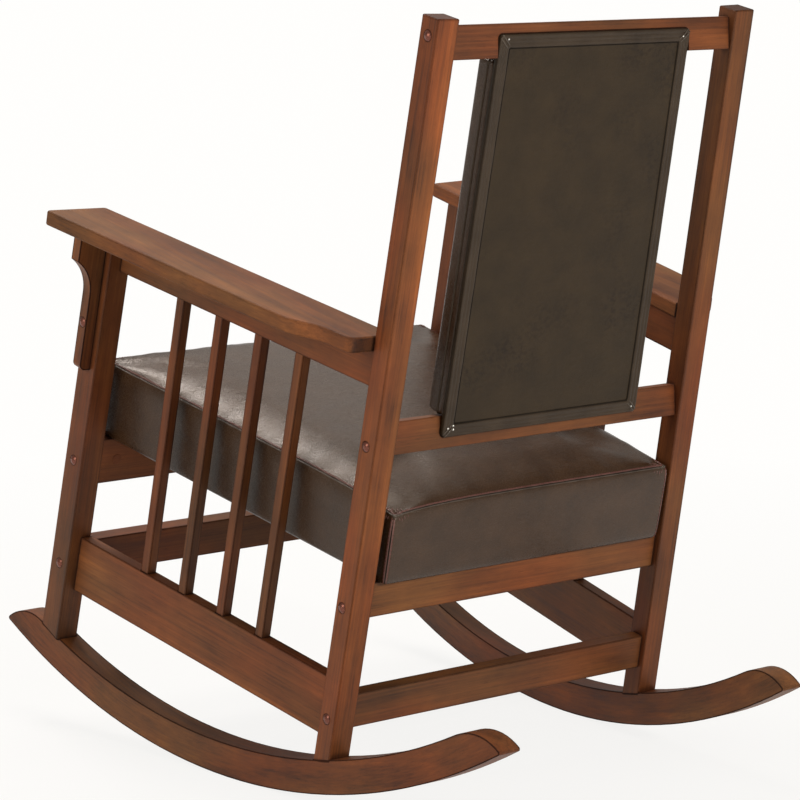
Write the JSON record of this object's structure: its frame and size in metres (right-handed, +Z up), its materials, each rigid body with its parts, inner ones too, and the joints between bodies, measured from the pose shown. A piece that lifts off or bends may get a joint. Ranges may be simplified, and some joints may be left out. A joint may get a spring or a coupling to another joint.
{
  "type": "rocking chair",
  "caption": "Mission style wooden rocking chair with bowed rockers, slatted sides, flat arms on corbels, and a leather covered seat and back.",
  "frame": {"origin": "on the floor under the middle of the chair, where the rockers touch at rest", "axes": "+Z up, -Y towards the front the sitter faces, +X to the sitter's left"},
  "size_m": [0.7356, 0.936, 0.97],
  "materials": {
    "stained_oak": "satin",
    "plain_softwood": "matte",
    "tack_board": "matte",
    "dowel_wood": "matte",
    "brown_leather": "satin",
    "foam": "matte",
    "webbing": "matte",
    "dust_cloth": "matte",
    "plated_steel": "satin",
    "bronze_cap": "satin"
  },
  "bodies": {
    "root": {"arm_dowels": "dowel_wood", "arm_screws": "plated_steel", "back_bottom_rail": "stained_oak", "back_core_board": "plain_softwood", "back_pad_cover": "brown_leather", "back_pad_foam": "foam", "back_rear_board": "tack_board", "back_rear_cover": "brown_leather", "back_screws": "plated_steel", "back_top_rail": "stained_oak", "barrel_nuts": "plated_steel", "bolt_caps": "bronze_cap", "corbel_screws": "plated_steel", "front_seat_rail": "stained_oak", "front_stretcher": "stained_oak", "left_arm": "stained_oak", "left_arm_rail": "stained_oak", "left_corbel": "stained_oak", "left_front_leg": "stained_oak", "left_lower_side_rail": "stained_oak", "left_rear_post": "stained_oak", "left_rocker": "stained_oak", "left_slat_1": "stained_oak", "left_slat_2": "stained_oak", "left_slat_3": "stained_oak", "left_slat_4": "stained_oak", "rail_bolts": "plated_steel", "rail_dowels": "dowel_wood", "rear_seat_rail": "stained_oak", "rear_stretcher": "stained_oak", "right_arm": "stained_oak", "right_arm_rail": "stained_oak", "right_corbel": "stained_oak", "right_front_leg": "stained_oak", "right_lower_side_rail": "stained_oak", "right_rear_post": "stained_oak", "right_rocker": "stained_oak", "right_slat_1": "stained_oak", "right_slat_2": "stained_oak", "right_slat_3": "stained_oak", "right_slat_4": "stained_oak", "rocker_dowels": "dowel_wood", "rocker_screws": "plated_steel", "seat_corner_blocks": "plain_softwood", "seat_dust_cover": "dust_cloth", "seat_foam": "foam", "seat_front_board": "plain_softwood", "seat_leather_cover": "brown_leather", "seat_left_board": "plain_softwood", "seat_rear_board": "plain_softwood", "seat_right_board": "plain_softwood", "seat_screws": "plated_steel", "seat_webbing": "webbing"}
  },
  "joints": []
}
